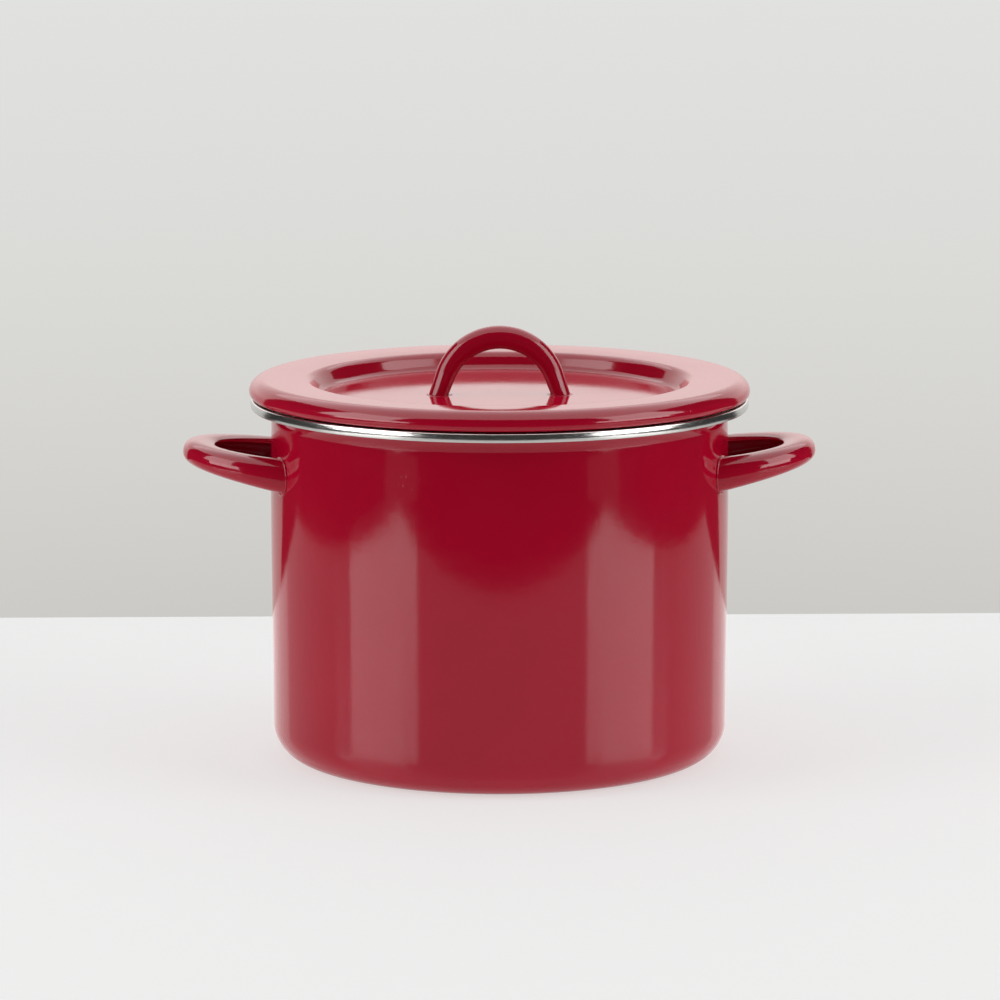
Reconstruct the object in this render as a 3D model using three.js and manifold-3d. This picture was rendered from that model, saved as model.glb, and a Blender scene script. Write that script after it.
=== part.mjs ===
// Enamelled steel stock pot with a lift-off lid, in millimetres, +Z up.
// The origin is the centre of the base. The two side handles lie on the X axis and the
// lid's arch spans X, so the pot is symmetric about X = 0 and about Y = 0.

import * as THREE from 'three';
import { mergeVertices } from 'three/addons/utils/BufferGeometryUtils.js';
import Module from 'manifold-3d';

const wasm = await Module();
wasm.setup();

// ---- driving dimensions ----

const GAP = 0.3;
const SIDES_ROUND = 40;

// Straight steps that each rounded stretch is made of.
const STEPS = {
  potCorner: 6,
  potFlare: 4,
  bandEdge: 2,
  lidLip: 3,
  lidFillet: 3,
  sideLoop: 18,
  archBow: 12,
  alongHandle: 24,
};

const POT = {
  sheet: 1.8,
  radius: 120,
  baseRadius: 119.2,
  cornerRadius: 17.9,
  taperTop: 150,
  neckRadius: 119.5,
  neckZ: 178.3,
  flareRadius: 8.2,
  flangeRadius: 129.3,
};

const BAND = {
  sheet: 0.7,
  radius: 130.3,
  bottom: 185.2,
  top: 190.3,
  edgeRadius: 1.1,
  underLipRadius: 127.4,
  topLipRadius: 125.4,
  topLipTurn: 70,
};

const LID = {
  sheet: 1.8,
  radius: 131,
  top: 200.8,
  brimInnerZ: 199.9,
  lipCentreRadius: 102.3,
  lipRadius: 4.9,
  wallAngle: 63,
  filletRadius: 5,
  discZ: 191,
  // The edge turns down in arcs of falling radius, and ends in the curl of the hem.
  edge: [
    { radius: 8.3, from: 90, to: 32, steps: 4 },
    { radius: 5.5, from: 32, to: -4, steps: 2 },
    { radius: 3.4, from: -4, to: -50, steps: 2 },
    { radius: 2.2, from: -50, to: -200, steps: 5 },
  ],
};

const SIDE_HANDLE = {
  centreX: 105.3,
  footY: 37.5,
  outerX: 166.4,
  loopSquareness: 2.2,
  footX: 112,
  footZ: 153.9,
  tilt: 9.9,
  footWidth: 15.5,
  footHeight: 18.5,
  gripWidth: 19.5,
  gripHeight: 12.6,
  openHalfAngle: 60,
};

const ARCH = {
  radius: 29.5,
  centreRise: 0.3,
  legLean: 20,
  depth: 11.5,
  footWidth: 10.3,
  topWidth: 13.2,
  openHalfAngle: 42,
};

// The loops are pressed from sheet as a channel that is open towards the inside of the loop.
const CHANNEL = {
  sheet: 1.6,
  squareness: 2.6,
  pointsRound: 11,
};

const WELD = {
  clearance: 0.4,
  width: 1,
  height: 1.1,
  pointsRound: 16,
};

// ---- outlines in (radius, height) ----

const radians = (degrees) => (degrees * Math.PI) / 180;

// Points on an arc between two angles in degrees, both ends included.
function arc(x, y, radius, from, to, steps) {
  return Array.from({ length: steps + 1 }, (_, i) => {
    const angle = radians(from + ((to - from) * i) / steps);
    return new THREE.Vector2(x + radius * Math.cos(angle), y + radius * Math.sin(angle));
  });
}

// The same open outline moved sideways, to the left of its direction of travel.
function movedLeft(points, distance) {
  return points.map((point, i) => {
    const before = points[Math.max(i - 1, 0)];
    const after = points[Math.min(i + 1, points.length - 1)];
    const arriving = (i === 0 ? after.clone().sub(point) : point.clone().sub(before)).normalize();
    const leaving = (i === points.length - 1 ? arriving.clone() : after.clone().sub(point)).normalize();
    const along = arriving.clone().add(leaving).normalize();
    const reach = distance / along.dot(arriving);
    return new THREE.Vector2(point.x - along.y * reach, point.y + along.x * reach);
  });
}

// A sheet turned round the Z axis: its outline is thickened to the left of its travel.
// An outline that starts on the axis gives a closed dish, and any other gives a ring.
function turnedSheet(outline, thickness) {
  const otherFace = movedLeft(outline, thickness);
  const isDish = outline[0].x === 0;
  if (isDish) otherFace[0].x = 0;
  const profile = [...outline, ...otherFace.reverse()];
  if (!isDish) profile.push(profile[0].clone());
  if (thickness < 0) profile.reverse();
  return turned(profile);
}

// LatheGeometry turns round +Y, so the result is stood up on +Z.
function turned(profile) {
  return new THREE.LatheGeometry(profile, SIDES_ROUND).rotateX(Math.PI / 2);
}

function cylinder(radius, bottom, top) {
  const corners = [[0, bottom], [radius, bottom], [radius, top], [0, top]];
  return turned(corners.map(([x, y]) => new THREE.Vector2(x, y)));
}

// ---- joining and cutting ----

function toSolid(geometry) {
  const bare = geometry.clone();
  for (const name of ['normal', 'uv']) bare.deleteAttribute(name);
  const merged = mergeVertices(bare);
  const mesh = new wasm.Mesh({
    numProp: 3,
    vertProperties: new Float32Array(merged.attributes.position.array),
    triVerts: new Uint32Array(merged.index.array),
  });
  return new wasm.Manifold(mesh);
}

function toGeometry(solid) {
  const mesh = solid.getMesh();
  const geometry = new THREE.BufferGeometry();
  geometry.setAttribute('position', new THREE.BufferAttribute(mesh.vertProperties, 3));
  geometry.setIndex(new THREE.BufferAttribute(mesh.triVerts, 1));
  geometry.computeVertexNormals();
  return geometry;
}

// ---- the pot ----

// Outer face of the pressing: base, corner, wall with a slight draft, neck, flare, flange.
function potOutline() {
  const cornerX = POT.baseRadius - POT.cornerRadius;
  const flareX = POT.neckRadius + POT.flareRadius;
  return [
    new THREE.Vector2(0, 0),
    ...arc(cornerX, POT.cornerRadius, POT.cornerRadius, -90, 0, STEPS.potCorner),
    new THREE.Vector2(POT.radius, POT.taperTop),
    ...arc(flareX, POT.neckZ, POT.flareRadius, 180, 90, STEPS.potFlare),
    new THREE.Vector2(POT.flangeRadius, POT.neckZ + POT.flareRadius),
  ];
}

// Rolled band that wraps the edge of the flange, open towards the inside of the pot.
function bandOutline() {
  const cornerX = BAND.radius - BAND.edgeRadius;
  const upperZ = BAND.top - BAND.edgeRadius;
  const turnX = BAND.topLipRadius + BAND.edgeRadius;
  return [
    new THREE.Vector2(BAND.underLipRadius, BAND.bottom),
    ...arc(cornerX, BAND.bottom + BAND.edgeRadius, BAND.edgeRadius, -90, 0, STEPS.bandEdge),
    ...arc(cornerX, upperZ, BAND.edgeRadius, 0, 90, STEPS.bandEdge),
    ...arc(turnX, upperZ, BAND.edgeRadius, 90, 90 + BAND.topLipTurn, STEPS.bandEdge),
  ];
}

// ---- the lid ----

// Arcs joined end to end, as an outline whose highest point is `top` and widest is `radius`.
function arcChain(stages, radius, top) {
  const points = [new THREE.Vector2(0, 0)];
  for (const stage of stages) {
    const offset = points.at(-1).clone();
    const turn = arc(0, 0, stage.radius, stage.from, stage.to, stage.steps);
    offset.sub(turn[0]);
    points.push(...turn.slice(1).map((point) => point.add(offset)));
  }
  const widest = Math.max(...points.map((point) => point.x));
  return points.map((point) => point.add(new THREE.Vector2(radius - widest, top)));
}

// Top face of the pressing: flat disc, fillet, sloping wall, lip, brim, edge and curled hem.
function lidOutline() {
  const lipZ = LID.brimInnerZ - LID.lipRadius;
  const lip = arc(LID.lipCentreRadius, lipZ, LID.lipRadius, 90 + LID.wallAngle, 90, STEPS.lidLip);
  const filletZ = LID.discZ + LID.filletRadius;
  const filletTop = filletZ - LID.filletRadius * Math.cos(radians(LID.wallAngle));
  const wallRun = (lip[0].y - filletTop) / Math.tan(radians(LID.wallAngle));
  const filletX = lip[0].x - wallRun - LID.filletRadius * Math.sin(radians(LID.wallAngle));
  return [
    new THREE.Vector2(0, LID.discZ),
    ...arc(filletX, filletZ, LID.filletRadius, -90, LID.wallAngle - 90, STEPS.lidFillet),
    ...lip,
    ...arcChain(LID.edge, LID.radius, LID.top),
  ];
}

// ---- the loop handles ----

// A point on a squared oval, at an angle in degrees from its +x side.
function ovalPoint(angle, halfWidth, halfHeight, squareness = CHANNEL.squareness) {
  const power = 2 / squareness;
  const cos = Math.cos(radians(angle));
  const sin = Math.sin(radians(angle));
  const x = halfWidth * Math.sign(cos) * Math.abs(cos) ** power;
  const y = halfHeight * Math.sign(sin) * Math.abs(sin) ** power;
  return new THREE.Vector2(x, y);
}

// The channel's section: an open squared oval of sheet, with its opening on the -x side.
function channelSection(width, height, openHalfAngle) {
  const end = 180 - openHalfAngle;
  const last = CHANNEL.pointsRound - 1;
  const outer = Array.from({ length: CHANNEL.pointsRound }, (_, i) => (
    ovalPoint(-end + (2 * end * i) / last, width / 2, height / 2)
  ));
  const inner = movedLeft(outer, CHANNEL.sheet).reverse();
  return new THREE.Shape([...outer, ...inner]);
}

// A closed ring just outside a channel's section, for the bead round its foot.
function beadSection(width, height) {
  const oval = (extra) => Array.from({ length: WELD.pointsRound }, (_, i) => (
    ovalPoint((360 * i) / WELD.pointsRound, width / 2 + extra, height / 2 + extra)
  ));
  const section = new THREE.Shape(oval(WELD.clearance + WELD.width));
  section.holes.push(new THREE.Path(oval(WELD.clearance)));
  return section;
}

// Bends a straight extrusion of the section along a flat curve whose plane faces `up`.
// The section's +x side faces out of the loop. It is full size at the middle of the curve
// and changes to `footScale` of that at both ends.
function bent(section, curve, up, footScale) {
  const straight = { depth: 1, steps: STEPS.alongHandle, bevelEnabled: false };
  const bar = new THREE.ExtrudeGeometry(section, straight);
  const position = bar.attributes.position;
  const point = new THREE.Vector3();
  for (let i = 0; i < position.count; i += 1) {
    const t = position.getZ(i);
    const nearFoot = 1 - Math.sin(Math.PI * t);
    const widthScale = 1 + (footScale.x - 1) * nearFoot;
    const heightScale = 1 + (footScale.y - 1) * nearFoot;
    const outward = curve.getTangentAt(t).cross(up).normalize();
    curve.getPointAt(t, point);
    point.addScaledVector(outward, position.getX(i) * widthScale);
    point.addScaledVector(up, -position.getY(i) * heightScale);
    position.setXYZ(i, point.x, point.y, point.z);
  }
  return bar;
}

// The half of space on one side of the plane x = 0 or y = 0, out to `size`.
function halfSpace(x, y, size) {
  const box = new THREE.BoxGeometry(2 * size, 2 * size, 2 * size);
  return toSolid(box.translate(x * size, y * size, 0));
}

// ---- the side handles ----

const UP = new THREE.Vector3(0, 0, 1);
const POT_WALL = toSolid(cylinder(POT.radius + GAP, 0, POT.neckZ));

// Half a squared oval in the loop's own plane, from the front foot round to the rear foot.
function sideCurve() {
  const { centreX, footY, outerX, gripWidth, loopSquareness } = SIDE_HANDLE;
  const reach = outerX - centreX - gripWidth / 2;
  const points = [];
  for (let i = 0; i <= STEPS.sideLoop; i += 1) {
    const angle = -90 + (180 * i) / STEPS.sideLoop;
    const point = ovalPoint(angle, reach, footY, loopSquareness);
    points.push(new THREE.Vector3(centreX + point.x, point.y, 0));
  }
  return new THREE.CatmullRomCurve3(points, false, 'centripetal');
}

// A section bent round the side loop, then tilted up about its feet.
function sideLoop(section) {
  const { footWidth, footHeight, gripWidth, gripHeight } = SIDE_HANDLE;
  const footScale = new THREE.Vector2(footWidth / gripWidth, footHeight / gripHeight);
  const loop = bent(section, sideCurve(), UP, footScale);
  loop.translate(-SIDE_HANDLE.footX, 0, 0).rotateY(-radians(SIDE_HANDLE.tilt));
  return toSolid(loop.translate(SIDE_HANDLE.footX, 0, SIDE_HANDLE.footZ));
}

function sideHandle() {
  const { gripWidth, gripHeight, openHalfAngle } = SIDE_HANDLE;
  return toGeometry(sideLoop(channelSection(gripWidth, gripHeight, openHalfAngle)).subtract(POT_WALL));
}

// The bead round the front foot (end = -1) or the rear foot (end = 1).
function sideWeld(end) {
  const beads = sideLoop(beadSection(SIDE_HANDLE.gripWidth, SIDE_HANDLE.gripHeight));
  const reach = toSolid(cylinder(POT.radius + GAP + WELD.height, 0, POT.neckZ));
  const both = beads.intersect(reach).subtract(POT_WALL);
  return toGeometry(both.intersect(halfSpace(0, end, POT.radius * 2)));
}

// ---- the lid's arch ----

// Two leaning legs and the arc between them, from the left foot over to the right foot.
function archCurve() {
  const centreZ = LID.discZ + ARCH.centreRise;
  const bow = arc(0, centreZ, ARCH.radius, 180 - ARCH.legLean, ARCH.legLean, STEPS.archBow);
  const legRun = (bow[0].y - LID.discZ) * Math.tan(radians(ARCH.legLean));
  const foot = new THREE.Vector2(bow[0].x - legRun, LID.discZ);
  const outline = [foot, ...bow, new THREE.Vector2(-foot.x, foot.y)];
  const points = outline.map(({ x, y }) => new THREE.Vector3(x, 0, y));
  return new THREE.CatmullRomCurve3(points, false, 'centripetal');
}

function archLoop(section) {
  const footScale = new THREE.Vector2(ARCH.footWidth / ARCH.topWidth, 1);
  return toSolid(bent(section, archCurve(), new THREE.Vector3(0, 1, 0), footScale));
}

function archHandle() {
  const disc = cylinder(LID.lipCentreRadius, LID.discZ - LID.filletRadius, LID.discZ + GAP);
  const section = channelSection(ARCH.topWidth, ARCH.depth, ARCH.openHalfAngle);
  return toGeometry(archLoop(section).subtract(toSolid(disc)));
}

// The bead round the left foot (end = -1) or the right foot (end = 1).
function archWeld(end) {
  const beads = archLoop(beadSection(ARCH.topWidth, ARCH.depth));
  const slab = cylinder(LID.lipCentreRadius, LID.discZ + GAP, LID.discZ + GAP + WELD.height);
  return toGeometry(beads.intersect(toSolid(slab)).intersect(halfSpace(end, 0, POT.radius * 2)));
}

// ---- the assembly ----

const enamel = { color: 0x951522, roughness: 0.12, metalness: 0 };
const stainless = { color: 0xc9c8c4, roughness: 0.22, metalness: 1 };

function piece(name, geometry, finish) {
  const mesh = new THREE.Mesh(geometry, new THREE.MeshStandardMaterial(finish));
  mesh.name = name;
  return mesh;
}

// The handle on one side with its beads. A half turn makes the left one from the right one,
// so the end that faces the front changes too.
function sideGroup(side, turn) {
  const group = new THREE.Group();
  group.rotation.z = turn;
  const front = turn === 0 ? -1 : 1;
  group.add(
    piece(`side_handle_${side}`, sideHandle(), enamel),
    piece(`side_weld_${side}_front`, sideWeld(front), enamel),
    piece(`side_weld_${side}_rear`, sideWeld(-front), enamel),
  );
  return group;
}

const pot = new THREE.Group();
pot.add(
  piece('pot_body', turnedSheet(potOutline(), POT.sheet), enamel),
  piece('rim_band', turnedSheet(bandOutline(), BAND.sheet), stainless),
  sideGroup('right', 0),
  sideGroup('left', Math.PI),
);

const lid = new THREE.Group();
lid.add(
  piece('lid_shell', turnedSheet(lidOutline(), -LID.sheet), enamel),
  piece('lid_handle', archHandle(), enamel),
  piece('lid_weld_right', archWeld(1), enamel),
  piece('lid_weld_left', archWeld(-1), enamel),
);

const stockPot = new THREE.Group();
stockPot.add(pot, lid);

export default stockPot;
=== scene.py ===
"""Enamelled stock pot with a steel-banded rim, loop handles and a lift-off lid.

Everything is in the row frame: +Z up, the base on z = 0, the side handles on the X axis.
Lengths are in millimetres and are turned into metres where a mesh is made, and angles are in
degrees, unless a comment says otherwise.
"""
import math

import bmesh
import bpy
from mathutils import Matrix, Vector


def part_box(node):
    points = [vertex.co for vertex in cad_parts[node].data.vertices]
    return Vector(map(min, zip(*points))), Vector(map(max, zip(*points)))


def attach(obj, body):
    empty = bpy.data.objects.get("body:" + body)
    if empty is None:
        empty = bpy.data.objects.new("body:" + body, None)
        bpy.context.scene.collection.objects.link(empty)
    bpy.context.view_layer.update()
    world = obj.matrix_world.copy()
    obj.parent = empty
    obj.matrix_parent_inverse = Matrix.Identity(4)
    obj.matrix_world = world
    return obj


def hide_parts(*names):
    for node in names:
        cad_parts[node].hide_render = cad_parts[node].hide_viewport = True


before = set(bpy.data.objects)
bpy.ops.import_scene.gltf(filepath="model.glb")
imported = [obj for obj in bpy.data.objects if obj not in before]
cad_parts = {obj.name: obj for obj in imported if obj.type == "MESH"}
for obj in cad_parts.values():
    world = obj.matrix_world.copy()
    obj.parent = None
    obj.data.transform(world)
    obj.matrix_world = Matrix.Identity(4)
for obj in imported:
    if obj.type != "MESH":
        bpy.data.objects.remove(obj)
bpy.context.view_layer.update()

MM = 0.001
# A profile point nearer than this to the axis is on it.
AXIS_RADIUS = 1e-6


# ---- sizes taken from the frame ----

def box_mm(node):
    """Lowest and highest corner of a CAD node, in millimetres."""
    low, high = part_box(node)
    return low / MM, high / MM


BAND_LOW, BAND_HIGH = box_mm("rim_band")
LID_HIGH = box_mm("lid_shell")[1]

# ---- camera ----

CAMERA = {
    "distance": 2745.0,
    "height": 590.0,
    "orbit": -1.45,
    "pitch": -9.41,
    "aim": 0.005,
    "roll": 0.0,
    "focal_px": 5298.0,
    "image_px": 1000.0,
    "sensor_mm": 36.0,
    "clip_m": (0.1, 100.0),
}


def make_camera():
    data = bpy.data.cameras.new("camera")
    data.sensor_width = CAMERA["sensor_mm"]
    data.lens = CAMERA["focal_px"] / CAMERA["image_px"] * CAMERA["sensor_mm"]
    data.clip_start, data.clip_end = CAMERA["clip_m"]
    camera = bpy.data.objects.new("camera", data)
    bpy.context.scene.collection.objects.link(camera)
    bpy.context.scene.camera = camera

    orbit = math.radians(CAMERA["orbit"])
    heading = -orbit + math.radians(CAMERA["aim"])
    pitch = math.radians(CAMERA["pitch"])
    roll = math.radians(CAMERA["roll"])
    level = Vector((math.sin(heading), math.cos(heading), 0))
    right = Vector((level.y, -level.x, 0))
    forward = level * math.cos(pitch) + Vector((0, 0, math.sin(pitch)))
    up = right.cross(forward)
    rolled_right = right * math.cos(roll) + up * math.sin(roll)
    rolled_up = up * math.cos(roll) - right * math.sin(roll)
    matrix = Matrix((rolled_right, rolled_up, -forward)).transposed().to_4x4()
    away = CAMERA["distance"] * MM
    matrix.translation = (math.sin(orbit) * away, -math.cos(orbit) * away, CAMERA["height"] * MM)
    camera.matrix_world = matrix


make_camera()


# ---- outlines in (radius, height) ----

def arc(x, y, radius, start, end, steps):
    """Points on an arc between two angles in degrees, both ends included."""
    angles = [math.radians(start + (end - start) * i / steps) for i in range(steps + 1)]
    return [Vector((x + radius * math.cos(a), y + radius * math.sin(a))) for a in angles]


def side_of(points, i):
    """The unit normal to the left of travel at one point of an outline, and its mitre length."""
    before, here, after = points[max(i - 1, 0)], points[i], points[min(i + 1, len(points) - 1)]
    arriving = (here - before if i else after - here).normalized()
    leaving = (after - here if i < len(points) - 1 else arriving).normalized()
    along = (arriving + leaving).normalized()
    return Vector((-along.y, along.x)), 1 / along.dot(arriving)


def moved_left(points, distance):
    """The same open outline moved to the left of its direction of travel."""
    moved = []
    for i, point in enumerate(points):
        normal, mitre = side_of(points, i)
        moved.append(point + normal * distance * mitre)
    return moved


def rounded_end(first, second, steps, side=1):
    """The half circle that joins the edge of one face of a sheet to the edge of the other.

    side is 1 where the second face is to the left of the first one's travel, and -1 to the right.
    """
    centre = (first + second) / 2
    spoke = first - centre
    turn = side * math.pi / steps
    points = []
    for i in range(1, steps):
        a = turn * i
        points.append(centre + Vector((
            spoke.x * math.cos(a) - spoke.y * math.sin(a),
            spoke.x * math.sin(a) + spoke.y * math.cos(a),
        )))
    return points


def smoothstep(t):
    t = min(max(t, 0), 1)
    return t * t * (3 - 2 * t)


# ---- meshes ----

def new_object(name, points, faces, finishes=None, face_finish=None):
    """A mesh object from points in millimetres."""
    mesh = bpy.data.meshes.new(name)
    mesh.from_pydata([Vector(p) * MM for p in points], [], faces)
    for finish in finishes or []:
        mesh.materials.append(finish)
    if face_finish:
        mesh.polygons.foreach_set("material_index", face_finish)
    mesh.polygons.foreach_set("use_smooth", [True] * len(mesh.polygons))
    tool = bmesh.new()
    tool.from_mesh(mesh)
    bmesh.ops.recalc_face_normals(tool, faces=tool.faces)
    tool.to_mesh(mesh)
    tool.free()
    mesh.update()
    obj = bpy.data.objects.new(name, mesh)
    bpy.context.scene.collection.objects.link(obj)
    return obj


def lathe(name, profile, segments, finishes, inside=None):
    """A profile turned round Z. It closes on itself, or starts and ends on the axis.

    inside(i) says whether the strip from profile point i to the next takes the second finish.
    """
    on_axis = profile[0].x < AXIS_RADIUS
    ring = profile[1:-1] if on_axis else profile
    points = []
    for point in ring:
        for s in range(segments):
            a = 2 * math.pi * s / segments
            points.append((point.x * math.cos(a), point.x * math.sin(a), point.y))
    faces, finish_of = [], []
    rows = len(ring)
    for row in range(rows - 1 if on_axis else rows):
        below, above = row * segments, ((row + 1) % rows) * segments
        for s in range(segments):
            t = (s + 1) % segments
            faces.append((below + s, below + t, above + t, above + s))
            finish_of.append(int(bool(inside and inside(row + (1 if on_axis else 0)))))
    if on_axis:
        for point, start, order in ((profile[0], 0, -1), (profile[-1], (rows - 1) * segments, 1)):
            centre = len(points)
            points.append((0, 0, point.y))
            for s in range(segments):
                pair = (start + s, start + (s + 1) % segments)[::order]
                faces.append((pair[0], pair[1], centre))
                finish_of.append(int(bool(inside and inside(0 if order < 0 else len(profile) - 2))))
    return new_object(name, points, faces, finishes, finish_of)


def sheet_profile(outline, thickness, end_steps):
    """The closed profile of a sheet: the outline, and its other face to the left of travel.

    Returns the profile and the number of points on its first face.
    """
    other = moved_left(outline, thickness)
    on_axis = outline[0].x < AXIS_RADIUS
    if on_axis:
        other[0].x = 0
    side = math.copysign(1, thickness)
    profile = outline + rounded_end(outline[-1], other[-1], end_steps, side) + other[::-1]
    if not on_axis:
        profile += rounded_end(other[0], outline[0], end_steps, side)
    return profile, len(outline)


# ---- pot and band ----

POT = {
    "sheet": 1.8,
    "base_radius": 119.2,
    "wall_radius": 120.0,
    "corner_radius": 17.9,
    "taper_top": 140.0,
    "neck_start": 150.0,
    "neck_radius": 119.5,
    "neck_z": 178.3,
    "flare_radius": 8.2,
    "flange_radius": 129.3,
}
LATHE_SEGMENTS = 256
# Points along each stretch of an outline.
STEPS = {"disc": 12, "arc": 12, "corner": 20, "wall": 30, "band": 8, "pressed_edge": 6, "thin_edge": 4}


def pot_outline():
    """Outer face: base, corner, wall with a slight draft, neck, flare and flange."""
    corner_x = POT["base_radius"] - POT["corner_radius"]
    flare_x = POT["neck_radius"] + POT["flare_radius"]
    points = [Vector((corner_x * i / STEPS["disc"], 0)) for i in range(STEPS["disc"])]
    points += arc(corner_x, POT["corner_radius"], POT["corner_radius"], -90, 0, STEPS["corner"])
    for i in range(1, STEPS["wall"] + 1):
        z = POT["corner_radius"] + (POT["neck_z"] - POT["corner_radius"]) * i / STEPS["wall"]
        swell = smoothstep((z - POT["corner_radius"]) / (POT["taper_top"] - POT["corner_radius"]))
        necking = smoothstep((z - POT["neck_start"]) / (POT["neck_z"] - POT["neck_start"]))
        x = POT["base_radius"] + (POT["wall_radius"] - POT["base_radius"]) * swell
        x += (POT["neck_radius"] - POT["wall_radius"]) * necking
        points.append(Vector((x, z)))
    points += arc(flare_x, POT["neck_z"], POT["flare_radius"], 180, 90, STEPS["arc"])[1:]
    points.append(Vector((POT["flange_radius"], POT["neck_z"] + POT["flare_radius"])))
    return points


def make_pot_body(enamel, lining):
    profile, outer = sheet_profile(pot_outline(), POT["sheet"], STEPS["pressed_edge"])
    middle_of_edge = outer + STEPS["pressed_edge"] // 2
    pot = lathe("pot_body_enamelled", profile, LATHE_SEGMENTS, [enamel, lining],
                inside=lambda i: i >= middle_of_edge)
    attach(pot, "pot")
    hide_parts("pot_body")


BAND = {
    "sheet": 0.7,
    "lower_edge_radius": 0.7,
    "upper_edge_radius": 1.0,
    "under_lip_radius": 127.4,
    "top_lip_radius": 125.4,
    "top_lip_turn": 70,
    "face_lean": 8,
    "face_bulge": 0.16,
    "below_top": 0.3,
}


def band_outline():
    """Outer face of the rolled band, from its under lip round to its turned-down top lip."""
    lower, upper, bulge = BAND["lower_edge_radius"], BAND["upper_edge_radius"], BAND["face_bulge"]
    bottom, top = BAND_LOW.z, BAND_HIGH.z - BAND["below_top"]
    face_x = BAND_HIGH.x - bulge
    low, high = bottom + lower, top - upper
    points = [Vector((BAND["under_lip_radius"], bottom))]
    steps, lean = STEPS["band"], BAND["face_lean"]
    points += arc(face_x - lower, low, lower, -90, -lean, steps)
    for i in range(1, steps):
        t = i / steps
        points.append(Vector((face_x + bulge * (1 - (2 * t - 1) ** 2), low + (high - low) * t)))
    points += arc(face_x - upper, high, upper, lean, 90, steps)
    last = 90 + BAND["top_lip_turn"]
    return points + arc(BAND["top_lip_radius"] + upper, high, upper, 90, last, steps)


def make_band(steel):
    profile, _ = sheet_profile(band_outline(), BAND["sheet"], STEPS["thin_edge"])
    band = lathe("rim_band_steel", profile, LATHE_SEGMENTS, [steel])
    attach(band, "pot")
    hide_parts("rim_band")


# ---- lid ----

LID = {
    "sheet": 1.8,
    "brim_drop": 0.9,
    "bare_hem": 7.0,
    "lip_centre_radius": 102.3,
    "lip_radius": 4.9,
    "wall_angle": 63,
    "fillet_radius": 5,
    "disc_drop": 9.8,
    # The edge turns down in arcs of falling radius, and ends in the curl of the hem:
    # radius, first and last angle, steps.
    "edge": [(8.3, 90, 32, 12), (5.5, 32, -4, 8), (3.4, -4, -50, 8), (2.2, -50, -200, 12)],
}


def lid_outline():
    """Top face: flat disc, fillet, sloping wall, lip, brim, rounded edge and curled hem."""
    top, edge_x = LID_HIGH.z, (LID_HIGH.x + LID_HIGH.y) / 2
    disc_z = top - LID["disc_drop"]
    brim_z = top - LID["brim_drop"]
    wall = LID["wall_angle"]
    lip_x, lip_radius = LID["lip_centre_radius"], LID["lip_radius"]
    lip = arc(lip_x, brim_z - lip_radius, lip_radius, 90 + wall, 90, STEPS["arc"])
    fillet_z = disc_z + LID["fillet_radius"]
    fillet_top = fillet_z - LID["fillet_radius"] * math.cos(math.radians(wall))
    run = (lip[0].y - fillet_top) / math.tan(math.radians(wall))
    fillet_x = lip[0].x - run - LID["fillet_radius"] * math.sin(math.radians(wall))
    points = [Vector((fillet_x * i / STEPS["disc"], disc_z)) for i in range(STEPS["disc"])]
    points += arc(fillet_x, fillet_z, LID["fillet_radius"], -90, wall - 90, STEPS["arc"])
    points += lip
    return points + arc_chain(LID["edge"], edge_x, top)


def arc_chain(stages, widest_x, top):
    """Arcs joined end to end, as an outline with its widest point and its top where asked."""
    points = [Vector((0, 0))]
    for radius, start, end, steps in stages:
        turned = arc(0, 0, radius, start, end, steps)
        offset = points[-1] - turned[0]
        points += [offset + point for point in turned[1:]]
    widest = max(point.x for point in points)
    return [point + Vector((widest_x - widest, top)) for point in points]


def make_lid(enamel, lining):
    profile, outer = sheet_profile(lid_outline(), -LID["sheet"], STEPS["pressed_edge"])
    underside = outer + STEPS["pressed_edge"]
    lining_edge = LID_HIGH.x - LID["bare_hem"]
    lid = lathe("lid_shell_enamelled", profile, LATHE_SEGMENTS, [enamel, lining],
                inside=lambda i: i > underside and profile[i].x < lining_edge)
    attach(lid, "lid")
    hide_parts("lid_shell")


# ---- loop handles ----

CHANNEL = {
    "sheet": 1.6,
    "round_steps": 44,
    "end_steps": 6,
    "along_steps": 120,
    # Fine steps that an even outline or bow is drawn from.
    "oval_steps": 720,
    "side_bow_steps": 360,
    "arch_bow_steps": 160,
    "arch_leg_steps": 20,
}
SIDE = {
    "centre_x": 105.3,
    "foot_y": 37.5,
    "outer_x": 166.4,
    "loop_squareness": 2.2,
    "foot_x": 112.0,
    "foot_radius": 119.5,
    "foot_z": 153.9,
    "tilt": 9.9,
    "foot_width": 15.5,
    "foot_height": 18.5,
    "grip_width": 19.5,
    "grip_height": 12.6,
    "squareness": 2.5,
    "open_half_angle": 60,
}
ARCH = {
    "radius": 29.5,
    "centre_rise": 0.3,
    "leg_lean": 20,
    "leg_below_disc": 4.0,
    "foot_below_disc": 0.3,
    "depth": 11.5,
    "foot_width": 10.3,
    "top_width": 13.2,
    "squareness": 2.0,
    "open_half_angle": 42,
}
# Weld beads: how far they spread over the surface and rise from it, how far off it the line
# that they follow lies, and what they add at their lowest point.
SIDE_BEAD = {"spread": 0.8, "rise": 0.8, "lift": 0.55, "drip": 1.2}
ARCH_BEAD = {"spread": 1.3, "rise": 0.4, "lift": 0.15, "drip": 0.0}
BEAD_RIPPLE = 0.2
BEAD_RIPPLE_WAVES = ((3, 0.3), (7, 0.3), (13, 0.25), (22, 0.15))
BEAD_RIPPLE_PHASE = 1.7
BEAD_DRIP_SHARPNESS = 12
BEAD_ROUND_STEPS = 96
BEAD_SECTION_STEPS = 10
ARCH_BEAD_SEED = 5
MEETING_HALVINGS = 40
SHORTEST_STEP = 1e-9


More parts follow.
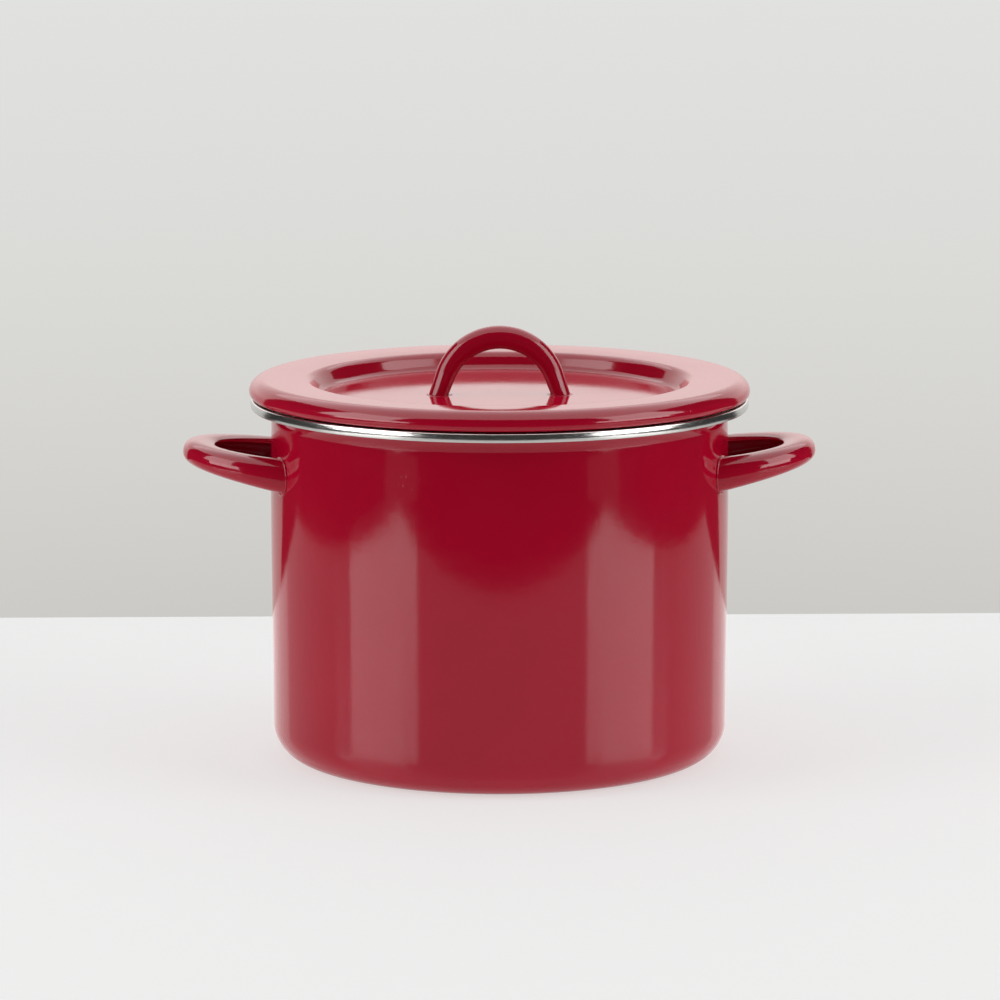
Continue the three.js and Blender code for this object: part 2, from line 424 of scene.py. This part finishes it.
def oval_point(angle, half_width, half_height, squareness):
    """A point on a squared oval, at an angle in degrees from its +x side."""
    power = 2 / squareness
    c, s = math.cos(math.radians(angle)), math.sin(math.radians(angle))
    return Vector((
        half_width * math.copysign(abs(c) ** power, c),
        half_height * math.copysign(abs(s) ** power, s),
    ))


def evenly_spaced(points, count):
    """Points at equal distances along an outline."""
    lengths = [0.0]
    for before, after in zip(points, points[1:]):
        lengths.append(lengths[-1] + (after - before).length)
    spaced, k = [], 0
    for i in range(count):
        target = lengths[-1] * i / (count - 1)
        while k < len(lengths) - 2 and lengths[k + 1] < target:
            k += 1
        t = (target - lengths[k]) / max(lengths[k + 1] - lengths[k], SHORTEST_STEP)
        spaced.append(points[k].lerp(points[k + 1], t))
    return spaced


def section_oval(width, height, squareness, half_angle):
    """The closed outline of a loop's section, or all but its opening on the -x side."""
    steps = CHANNEL["oval_steps"]
    return [oval_point((2 * i / steps - 1) * half_angle, width / 2, height / 2, squareness)
            for i in range(steps + 1)]


def channel_section(width, height, squareness, open_half_angle):
    """The closed section of a pressed channel that is open on its -x side."""
    oval = section_oval(width, height, squareness, 180 - open_half_angle)
    outer = evenly_spaced(oval, CHANNEL["round_steps"])
    inner = moved_left(outer, CHANNEL["sheet"])
    steps = CHANNEL["end_steps"]
    section = outer + rounded_end(outer[-1], inner[-1], steps)
    return section + inner[::-1] + rounded_end(inner[0], outer[0], steps)


class Bow:
    """A flat curve that a section is bent along, with its +x side out of the loop.

    The section is full size at the middle, and foot_scale of that (x, y) at both ends.
    place(point) puts a point of the flat bow where it belongs on the pot.
    """

    def __init__(self, points, up, foot_scale, place):
        self.points = points
        self.up = up
        self.foot_scale = foot_scale
        self.place = place
        self.lengths = [0.0]
        for before, after in zip(points, points[1:]):
            self.lengths.append(self.lengths[-1] + (after - before).length)

    def at(self, t, section_point):
        """Where a section point lands at a share t of the way along."""
        target = t * self.lengths[-1]
        low, high = 0, len(self.lengths) - 1
        while high - low > 1:
            middle = (low + high) // 2
            low, high = (middle, high) if self.lengths[middle] <= target else (low, middle)
        part = (target - self.lengths[low]) / (self.lengths[high] - self.lengths[low])
        here = self.points[low].lerp(self.points[high], part)
        before = self.points[max(low - 1, 0)]
        after = self.points[min(high + 1, len(self.points) - 1)]
        outward = (after - before).cross(self.up).normalized()
        near_foot = 1 - math.sin(math.pi * t)
        width_scale = 1 + (self.foot_scale[0] - 1) * near_foot
        height_scale = 1 + (self.foot_scale[1] - 1) * near_foot
        across = outward * section_point.x * width_scale
        return self.place(here + across - self.up * section_point.y * height_scale)

    def meets(self, section_point, depth, from_end):
        """The share t at which a section point's line comes out of the surface it stands on.

        depth(point) is positive inside that surface.
        """
        low, high = (1.0, 0.5) if from_end else (0.0, 0.5)
        for _ in range(MEETING_HALVINGS):
            middle = (low + high) / 2
            if depth(self.at(middle, section_point)) > 0:
                low = middle
            else:
                high = middle
        return (low + high) / 2


def side_bow():
    reach = SIDE["outer_x"] - SIDE["centre_x"] - SIDE["grip_width"] / 2
    steps, squareness = CHANNEL["oval_steps"], SIDE["loop_squareness"]
    fine = [oval_point(180 * i / steps - 90, reach, SIDE["foot_y"], squareness) for i in range(steps + 1)]
    even = evenly_spaced(fine, CHANNEL["side_bow_steps"] + 1)
    points = [Vector((SIDE["centre_x"] + p.x, p.y, 0)) for p in even]
    tilt = Matrix.Rotation(-math.radians(SIDE["tilt"]), 3, "Y")
    pivot = Vector((SIDE["foot_x"], 0, 0))
    rise = Vector((0, 0, SIDE["foot_z"]))
    foot_scale = (SIDE["foot_width"] / SIDE["grip_width"], SIDE["foot_height"] / SIDE["grip_height"])
    return Bow(points, Vector((0, 0, 1)), foot_scale, lambda p: tilt @ (p - pivot) + pivot + rise)


def arch_bow():
    disc_z = LID_HIGH.z - LID["disc_drop"]
    lean, steps = ARCH["leg_lean"], CHANNEL["arch_leg_steps"]
    centre_z = disc_z + ARCH["centre_rise"]
    bow = arc(0, centre_z, ARCH["radius"], 180 - lean, lean, CHANNEL["arch_bow_steps"])
    foot_z = disc_z - ARCH["leg_below_disc"]
    run = (bow[0].y - foot_z) * math.tan(math.radians(lean))
    left = [Vector((bow[0].x - run, foot_z)).lerp(bow[0], i / steps) for i in range(steps)]
    right = [Vector((-p.x, p.y)) for p in left[::-1]]
    points = [Vector((p.x, 0, p.y)) for p in left + bow + right]
    foot_scale = (ARCH["foot_width"] / ARCH["top_width"], 1)
    return Bow(points, Vector((0, 1, 0)), foot_scale, lambda p: p)


def inside_wall(point):
    """Depth of a point inside the cylinder that the side handles stand on."""
    return SIDE["foot_radius"] - math.hypot(point.x, point.y)


def below_disc(point):
    """Depth of a point below the height in the lid's disc that the arch starts from."""
    return LID_HIGH.z - LID["disc_drop"] - ARCH["foot_below_disc"] - point.z


def loop_mesh(name, bow, section, depth, finish, turn):
    """The section bent along the bow, from where it leaves the surface to where it returns."""
    count, steps = len(section), CHANNEL["along_steps"]
    spans = [(bow.meets(p, depth, False), bow.meets(p, depth, True)) for p in section]
    points = []
    for k in range(steps + 1):
        for p, (first, last) in zip(section, spans):
            points.append(turn @ bow.at(first + (last - first) * k / steps, p))
    faces = []
    for k in range(steps):
        for j in range(count):
            i = (j + 1) % count
            faces.append((k * count + j, k * count + i, (k + 1) * count + i, (k + 1) * count + j))
    faces.append(tuple(range(count))[::-1])
    faces.append(tuple(steps * count + j for j in range(count)))
    return new_object(name, points, faces, [finish])


def ripple(a, seed):
    """Unevenness of a hand-laid bead, between about -1 and 1, round one turn."""
    total = 0
    for harmonic, weight in BEAD_RIPPLE_WAVES:
        total += weight * math.sin(harmonic * a + seed * harmonic * BEAD_RIPPLE_PHASE)
    return total


def bead_mesh(name, bow, oval, bead, depth, at_end, seed, finish, turn):
    """A weld bead along the line where a loop of this oval section meets the surface."""
    around, rounds = BEAD_ROUND_STEPS, BEAD_SECTION_STEPS
    contour = evenly_spaced(section_oval(*oval, 180), around + 1)[:-1]
    line = [bow.at(bow.meets(p, lambda q: depth(q) + bead["lift"], at_end), p) for p in contour]
    centre = sum(line, Vector()) / around
    points = []
    for i, here in enumerate(line):
        along = (line[(i + 1) % around] - line[i - 1]).normalized()
        spoke = (here - centre).normalized()
        out = (spoke - along * spoke.dot(along)).normalized()
        up = along.cross(out)
        uneven = 1 + BEAD_RIPPLE * ripple(2 * math.pi * i / around, seed)
        drip = bead["drip"] * max(0.0, -spoke.z) ** BEAD_DRIP_SHARPNESS
        spread = bead["spread"] * uneven + drip
        rise = bead["rise"] * uneven
        for j in range(rounds):
            a = 2 * math.pi * j / rounds
            points.append(turn @ (here + out * math.cos(a) * spread + up * math.sin(a) * rise))
    faces = []
    for i in range(around):
        n = (i + 1) % around
        for j in range(rounds):
            m = (j + 1) % rounds
            faces.append((i * rounds + j, n * rounds + j, n * rounds + m, i * rounds + m))
    return new_object(name, points, faces, [finish])


def make_loops(enamel):
    straight = Matrix.Identity(3)
    half_turn = Matrix.Rotation(math.pi, 3, "Z")
    oval = (SIDE["grip_width"], SIDE["grip_height"], SIDE["squareness"])
    bow, section = side_bow(), channel_section(*oval, SIDE["open_half_angle"])
    for side, turn, ends in (("right", straight, ("front", "rear")), ("left", half_turn, ("rear", "front"))):
        node = f"side_handle_{side}"
        handle = loop_mesh(f"{node}_enamelled", bow, section, inside_wall, enamel, turn)
        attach(handle, "pot")
        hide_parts(node)
        for at_end, end in enumerate(ends):
            node = f"side_weld_{side}_{end}"
            seed = len(node) + at_end
            bead = bead_mesh(f"{node}_bead", bow, oval, SIDE_BEAD, inside_wall, bool(at_end),
                             seed, enamel, turn)
            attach(bead, "pot")
            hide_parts(node)

    oval = (ARCH["top_width"], ARCH["depth"], ARCH["squareness"])
    bow, section = arch_bow(), channel_section(*oval, ARCH["open_half_angle"])
    arch = loop_mesh("lid_handle_enamelled", bow, section, below_disc, enamel, straight)
    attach(arch, "lid")
    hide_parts("lid_handle")
    for at_end, side in enumerate(("left", "right")):
        node = f"lid_weld_{side}"
        bead = bead_mesh(f"{node}_bead", bow, oval, ARCH_BEAD, below_disc, bool(at_end),
                         ARCH_BEAD_SEED + at_end, enamel, straight)
        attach(bead, "lid")
        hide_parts(node)


# ---- materials ----

# Most of a noise texture's values lie between these.
NOISE_RANGE = (0.3, 0.7)
# Scales are per metre, depths in metres.
ENAMEL = {
    "ior": 1.52,
    "specular": 0.38,
    "cloud_scale": 14,
    "edge_pointiness": (0.52, 0.60),
    "edge_share": 0.35,
    "edge_tone": 0.6,
    "pit_scale": 420.0,
    "pit_radius": (0.10, 0.22),
    "pit_patch_scale": 60,
    "pit_threshold": 0.62,
    "pit_strength": 0.5,
    "pit_depth": 0.00004,
    "scuff_height": 0.0012,
    "scuff_scale": 250,
    "scuff_range": (0.45, 0.6),
    "scuff_share": 0.5,
    "scuff_roughness": 0.4,
    "scuff_colour": (0.10, 0.09, 0.09, 1),
    "smear_scale": 45,
    "smear_range": (0.8, 1.25),
    "wave_scale": 160,
    "wave_depth": 0.00002,
    "skin_scale": 700,
    "skin_depth": 0.000003,
}
STEEL = {
    "dark": (0.55, 0.54, 0.52, 1),
    "light": (0.72, 0.71, 0.69, 1),
    "roughness": (0.12, 0.22),
    "brush_scale": 300,
    "brush_around": 0.06,
    "brush_along": 12.0,
    "brush_strength": 0.3,
    "brush_depth": 0.00001,
}
RED = {"deep": (0.365, 0.0012, 0.0180, 1), "bright": (0.40, 0.0018, 0.0215, 1), "roughness": 0.085}
CREAM = {"deep": (0.70, 0.67, 0.60, 1), "bright": (0.74, 0.71, 0.65, 1), "roughness": 0.12}


class Nodes:
    """Short calls for building a node material."""

    def __init__(self, name):
        self.material = bpy.data.materials.new(name)
        self.material.use_nodes = True
        self.tree = self.material.node_tree
        self.shader = self.tree.nodes["Principled BSDF"]
        self.place = self.add("ShaderNodeTexCoord").outputs["Object"]

    def add(self, kind, inputs=None, **settings):
        node = self.tree.nodes.new(kind)
        for key, value in settings.items():
            setattr(node, key, value)
        for key, value in (inputs or {}).items():
            self.put(node.inputs[key], value)
        return node

    def put(self, socket, value):
        if isinstance(value, bpy.types.NodeSocket):
            self.tree.links.new(value, socket)
        else:
            socket.default_value = value

    def noise(self, scale, detail=2.0, roughness=0.5, place=None):
        node = self.add("ShaderNodeTexNoise", {
            "Vector": place or self.place, "Scale": scale, "Detail": detail, "Roughness": roughness})
        return node.outputs["Fac"]

    def mapped(self, value, low, high, to_low, to_high):
        node = self.add("ShaderNodeMapRange", {
            "Value": value, "From Min": low, "From Max": high, "To Min": to_low, "To Max": to_high})
        return node.outputs["Result"]

    def mixed(self, share, first, second):
        node = self.add("ShaderNodeMix", data_type="RGBA")
        self.put(node.inputs["Factor"], share)
        self.put(node.inputs["A"], first)
        self.put(node.inputs["B"], second)
        return node.outputs["Result"]

    def math(self, operation, *values):
        node = self.add("ShaderNodeMath", operation=operation)
        for i, value in enumerate(values):
            self.put(node.inputs[i], value)
        return node.outputs["Value"]

    def bump(self, height, strength, distance, normal=None):
        inputs = {"Height": height, "Strength": strength, "Distance": distance}
        if normal is not None:
            inputs["Normal"] = normal
        return self.add("ShaderNodeBump", inputs).outputs["Normal"]


def enamel_material(name, deep, bright, roughness):
    """Fired glass enamel: an even colour, a wavy glossy skin, fine pits and a scuffed base ring."""
    n = Nodes(name)
    clouds = n.mapped(n.noise(ENAMEL["cloud_scale"], 3), *NOISE_RANGE, 0, 1)
    colour = n.mixed(clouds, deep, bright)
    pointiness = n.add("ShaderNodeNewGeometry").outputs["Pointiness"]
    edges = n.mapped(pointiness, *ENAMEL["edge_pointiness"], 0, ENAMEL["edge_share"])
    colour = n.mixed(edges, colour, [ENAMEL["edge_tone"] * part for part in deep[:3]] + [1])

    cells = n.add("ShaderNodeTexVoronoi", {
        "Vector": n.place, "Scale": ENAMEL["pit_scale"], "Randomness": 1.0})
    chosen = n.math("GREATER_THAN", n.noise(ENAMEL["pit_patch_scale"], 2), ENAMEL["pit_threshold"])
    dots = n.mapped(cells.outputs["Distance"], *ENAMEL["pit_radius"], 1, 0)
    pits = n.math("MULTIPLY", dots, chosen)

    height = n.add("ShaderNodeSeparateXYZ", {"Vector": n.place}).outputs["Z"]
    near_base = n.mapped(height, 0.0, ENAMEL["scuff_height"], 1, 0)
    scratches = n.mapped(n.noise(ENAMEL["scuff_scale"], 5, 0.7), *ENAMEL["scuff_range"], 0, 1)
    scuffs = n.math("MULTIPLY", near_base, scratches)
    scuffed = n.math("MULTIPLY", scuffs, ENAMEL["scuff_share"])
    n.put(n.shader.inputs["Base Color"], n.mixed(scuffed, colour, ENAMEL["scuff_colour"]))

    smear = n.noise(ENAMEL["smear_scale"], 4, 0.6)
    gloss = n.mapped(smear, *NOISE_RANGE, *[roughness * part for part in ENAMEL["smear_range"]])
    gloss = n.math("ADD", gloss, n.math("MULTIPLY", scuffs, ENAMEL["scuff_roughness"]))
    n.put(n.shader.inputs["Roughness"], gloss)
    n.put(n.shader.inputs["IOR"], ENAMEL["ior"])
    n.put(n.shader.inputs["Specular IOR Level"], ENAMEL["specular"])
    waves = n.bump(n.noise(ENAMEL["wave_scale"], 1.5), 1.0, ENAMEL["wave_depth"])
    skin = n.bump(n.noise(ENAMEL["skin_scale"], 2), 1.0, ENAMEL["skin_depth"], waves)
    pitted = n.bump(pits, ENAMEL["pit_strength"], -ENAMEL["pit_depth"], skin)
    n.put(n.shader.inputs["Normal"], pitted)
    return n.material


def steel_material():
    """Stainless band: brushed round the rim, with a soft polish on top."""
    n = Nodes("rim_steel")
    parts = n.add("ShaderNodeSeparateXYZ", {"Vector": n.place})
    around = n.math("ARCTAN2", parts.outputs["Y"], parts.outputs["X"])
    stretched = n.add("ShaderNodeCombineXYZ", {
        "X": n.math("MULTIPLY", around, STEEL["brush_around"]),
        "Y": n.math("MULTIPLY", parts.outputs["Z"], STEEL["brush_along"]),
        "Z": 0.0,
    })
    brushing = n.noise(STEEL["brush_scale"], 4, 0.6, stretched.outputs["Vector"])
    n.put(n.shader.inputs["Base Color"], n.mixed(brushing, STEEL["dark"], STEEL["light"]))
    n.put(n.shader.inputs["Metallic"], 1.0)
    n.put(n.shader.inputs["Roughness"], n.mapped(brushing, *NOISE_RANGE, *STEEL["roughness"]))
    n.put(n.shader.inputs["Normal"], n.bump(brushing, STEEL["brush_strength"], STEEL["brush_depth"]))
    return n.material


red_enamel = enamel_material("red_enamel", **RED)
cream_lining = enamel_material("cream_lining", **CREAM)
rim_steel = steel_material()

make_pot_body(red_enamel, cream_lining)
make_band(rim_steel)
make_lid(red_enamel, cream_lining)
make_loops(red_enamel)


# ---- floor and light ----

TABLE = {"front": -650.0, "back": 390.0, "side": 765.0}
TABLE_TOP = {"albedo": 0.44, "glow": 0.53, "roughness": 0.6, "specular": 0.1}
TABLE_SHEEN = {"albedo": 0.50, "glow": 0.40, "roughness": 0.2, "specular": 0.5}
SHEEN_Z = 0.5
FLOOR_HALF = 12000.0
BACKDROP_HALF_ANGLE = 45.0
BACKDROP = {
    "strength": 0.80,
    "shade": 0.29,
    "near": (1.0, 0.985, 0.94, 1),
    "far": (0.995, 1.0, 0.985, 1),
    "tint_metres": (0.4, 3.5),
}
# The dark room that the enamel mirrors.
FLAG = {"strength": 0.03, "far": 8000.0, "z": 2.0, "distance": 3300.0, "elevations": (-3, 56)}
# Curved cards: strength, headings away from -Y and elevations, in degrees.
CARD_CENTRE_Z = 150
CARD_STEPS = (48, 12)
SOFTBOX_DISTANCE = 2400.0
SOFTBOXES = {
    "low": (6.0, (42, 80), (-1, 10)),
    "high": (4.6, (50, 90), (10, 50)),
}
SPILL = {"strength": 0.25, "z": 3, "near_y": (-510, -885), "far_y": (-1450, -2700)}
OVERHEAD_CARD = {"strength": 2.2, "z": 1900, "side": 1700, "front": -1100, "back": 3200}
# Area lights: place and size in metres, radiance.
AREA_LIGHTS = {
    "overhead": ((0, 0.3, 1.8), (2.4, 2.4), 0.35),
    "left": ((-2.1, -0.7, 1.0), (1.6, 1.6), 2.3),
    "right": ((2.1, -0.7, 1.0), (1.6, 1.6), 2.3),
}
LIGHT_AIM = (0, 0, 0.1)
# The strength of the world as it is seen, by height, and as it lights things, by direction.
WORLD = {
    "colour": (1.0, 0.995, 0.965, 1),
    "horizon": (-0.02, 0.16),
    "seen": (0.76, 1.25),
    "cast_front_to_back": (0.25, 0.75),
    "cast_level_to_top": (1, 0.2),
}


def rectangle(side, front, back):
    """Corners of a rectangle from -side to side, and from front to back."""
    return [(-side, front), (side, front), (side, back), (-side, back)]


def flat_plate(name, corners, z):
    plate = new_object(name, [(x, y, z) for x, y in corners], [tuple(range(len(corners)))])
    return plate


def table_material(name, albedo, glow, roughness, specular):
    """White table top, with a little light of its own in place of a big room's bounced light."""
    n = Nodes(name)
    n.put(n.shader.inputs["Base Color"], (albedo, albedo, albedo, 1))
    n.put(n.shader.inputs["Roughness"], roughness)
    n.put(n.shader.inputs["Specular IOR Level"], specular)
    n.put(n.shader.inputs["Emission Color"], (1, 1, 1, 1))
    n.put(n.shader.inputs["Emission Strength"], glow)
    return n


def floor_material():
    """A pale matt table top inside a rectangle, and a pale backdrop that brightens beyond it."""
    n = table_material("floor", **TABLE_TOP)
    parts = n.add("ShaderNodeSeparateXYZ", {"Vector": n.place})
    beyond = n.math("GREATER_THAN", parts.outputs["Y"], TABLE["back"] * MM)
    beside = n.math("GREATER_THAN", n.math("ABSOLUTE", parts.outputs["X"]), TABLE["side"] * MM)
    before = n.math("LESS_THAN", parts.outputs["Y"], TABLE["front"] * MM)
    outside = n.math("MAXIMUM", n.math("MAXIMUM", beyond, beside), before)

    far = n.add("ShaderNodeVectorMath", {0: n.place}, operation="LENGTH").outputs["Value"]
    shade = n.math("DIVIDE", BACKDROP["shade"], n.math("ADD", far, 1.0))
    surround = n.add("ShaderNodeEmission")
    tint = n.mapped(far, *BACKDROP["tint_metres"], 0, 1)
    n.put(surround.inputs["Color"], n.mixed(tint, BACKDROP["near"], BACKDROP["far"]))
    n.put(surround.inputs["Strength"], n.math("SUBTRACT", BACKDROP["strength"], shade))
    mix = n.add("ShaderNodeMixShader", {"Fac": outside})
    n.tree.links.new(n.shader.outputs["BSDF"], mix.inputs[1])
    n.tree.links.new(surround.outputs["Emission"], mix.inputs[2])
    n.tree.links.new(mix.outputs["Shader"], n.tree.nodes["Material Output"].inputs["Surface"])
    return n.material


def make_floor():
    """The floor, and the sheen of the table top that the enamel mirrors."""
    floor = flat_plate("floor", rectangle(FLOOR_HALF, -FLOOR_HALF, FLOOR_HALF), 0)
    floor.data.materials.append(floor_material())
    sheen = flat_plate("table_sheen", rectangle(TABLE["side"], TABLE["front"], TABLE["back"]), SHEEN_Z)
    sheen.data.materials.append(table_material("table_sheen", **TABLE_SHEEN).material)
    only_in_reflections(sheen)


def only_in_reflections(obj):
    """Seen only in glossy reflections, as a black flag or a light card beside a camera is."""
    obj.visible_camera = False
    obj.visible_diffuse = False
    obj.visible_shadow = False
    obj.visible_transmission = False


def glow_material(name, strength):
    n = Nodes(name)
    glow = n.add("ShaderNodeEmission", {"Color": (1, 1, 1, 1), "Strength": strength})
    n.tree.links.new(glow.outputs["Emission"], n.tree.nodes["Material Output"].inputs["Surface"])
    return n.material


def on_sphere(distance, heading, elevation):
    """A point at a heading in degrees from -Y towards +X, and an elevation."""
    h, e = math.radians(heading), math.radians(elevation)
    return Vector((math.sin(h) * math.cos(e), -math.cos(h) * math.cos(e), math.sin(e))) * distance


def curved_card(name, distance, headings, elevations, finish):
    """A card bent round the pot between two headings and two elevations, in degrees."""
    centre = Vector((0, 0, CARD_CENTRE_Z))
    columns, rows = CARD_STEPS
    points, faces = [], []
    for i in range(columns + 1):
        for k in range(rows + 1):
            heading = headings[0] + (headings[1] - headings[0]) * i / columns
            elevation = elevations[0] + (elevations[1] - elevations[0]) * k / rows
            points.append(on_sphere(distance, heading, elevation) + centre)
    for i in range(columns):
        for k in range(rows):
            a = i * (rows + 1) + k
            faces.append((a, a + rows + 1, a + rows + 2, a + 1))
    card = new_object(name, points, faces)
    card.data.materials.append(finish)
    only_in_reflections(card)


def make_flags():
    """The dark room round the table top, open only where the backdrop stands."""
    flag = glow_material("flag", FLAG["strength"])
    far, front, back, side = FLAG["far"], TABLE["front"], TABLE["back"], TABLE["side"]
    spread = math.tan(math.radians(BACKDROP_HALF_ANGLE))
    outlines = {
        "front": [(-far, -far), (far, -far), (far, front), (-far, front)],
        "left": [(-far, front), (-side, front), (-side, back), (-far, back)],
        "right": [(side, front), (far, front), (far, back), (side, back)],
        "rear_left": [(-far, back), (-back * spread, back), (-far * spread, far), (-far, far)],
        "rear_right": [(back * spread, back), (far, back), (far, far), (far * spread, far)],
    }
    for name, corners in outlines.items():
        plate = flat_plate(f"flag_{name}", corners, FLAG["z"])
        plate.data.materials.append(flag)
        only_in_reflections(plate)
    limit = 180 - BACKDROP_HALF_ANGLE
    curved_card("flag_room", FLAG["distance"], (-limit, limit), FLAG["elevations"], flag)


def make_cards():
    """What shows in the enamel: a softbox on each side and a large one overhead."""
    for part, (strength, headings, elevations) in SOFTBOXES.items():
        glow = glow_material(f"softbox_{part}", strength)
        for side, sign in (("left", -1), ("right", 1)):
            turned = [sign * heading for heading in headings]
            curved_card(f"softbox_{side}_{part}", SOFTBOX_DISTANCE, turned, elevations, glow)
    for side, sign in (("left", -1), ("right", 1)):
        near, far = sign * TABLE["side"], sign * SOFTBOX_DISTANCE
        (near_back, near_front), (far_back, far_front) = SPILL["near_y"], SPILL["far_y"]
        corners = [(near, near_back), (far, far_back), (far, far_front), (near, near_front)]
        spill = flat_plate(f"softbox_{side}_spill", corners, SPILL["z"])
        spill.data.materials.append(glow_material(f"softbox_{side}_spill", SPILL["strength"]))
        only_in_reflections(spill)
    card = OVERHEAD_CARD
    overhead = flat_plate("overhead_card", rectangle(card["side"], card["front"], card["back"]), card["z"])
    overhead.data.materials.append(glow_material("overhead_card", card["strength"]))
    only_in_reflections(overhead)


def area_light(name, place, size, radiance):
    """A soft light that faces the pot, of a given brightness, left out of reflections."""
    data = bpy.data.lights.new(name, "AREA")
    data.shape = "RECTANGLE"
    data.size, data.size_y = size
    data.energy = radiance * math.pi * size[0] * size[1]
    light = bpy.data.objects.new(name, data)
    light.location = place
    aim = Vector(LIGHT_AIM) - Vector(place)
    light.rotation_euler = aim.to_track_quat("-Z", "Y").to_euler()
    light.visible_camera = False
    light.visible_glossy = False
    bpy.context.scene.collection.objects.link(light)


def make_lights():
    for name, (place, size, radiance) in AREA_LIGHTS.items():
        area_light(name, place, size, radiance)


def make_world():
    """A soft white room: brightest above the horizon, and behind the pot for the light it gives."""
    world = bpy.data.worlds.new("studio")
    bpy.context.scene.world = world
    world.use_nodes = True
    tree = world.node_tree

    def node(kind, inputs):
        made = tree.nodes.new(kind)
        for key, value in inputs.items():
            if isinstance(value, bpy.types.NodeSocket):
                tree.links.new(value, made.inputs[key])
            else:
                made.inputs[key].default_value = value
        return made

    def mapped(value, low, high, to_low, to_high):
        inputs = {"Value": value, "From Min": low, "From Max": high, "To Min": to_low, "To Max": to_high}
        return node("ShaderNodeMapRange", inputs).outputs["Result"]

    place = tree.nodes.new("ShaderNodeTexCoord").outputs["Generated"]
    parts = node("ShaderNodeSeparateXYZ", {"Vector": place})
    seen = mapped(parts.outputs["Z"], *WORLD["horizon"], *WORLD["seen"])
    behind = mapped(parts.outputs["Y"], -1, 1, *WORLD["cast_front_to_back"])
    lower = mapped(parts.outputs["Z"], 0, 1, *WORLD["cast_level_to_top"])
    cast = tree.nodes.new("ShaderNodeMath")
    cast.operation = "MULTIPLY"
    tree.links.new(behind, cast.inputs[0])
    tree.links.new(lower, cast.inputs[1])
    casting = tree.nodes.new("ShaderNodeLightPath").outputs["Is Diffuse Ray"]
    strength = node("ShaderNodeMix", {"Factor": casting, "A": seen, "B": cast.outputs["Value"]})
    background = tree.nodes["Background"]
    tree.links.new(strength.outputs["Result"], background.inputs["Strength"])
    background.inputs["Color"].default_value = WORLD["colour"]


make_floor()
make_flags()
make_cards()
make_lights()
make_world()
bpy.context.scene.view_settings.view_transform = "Standard"
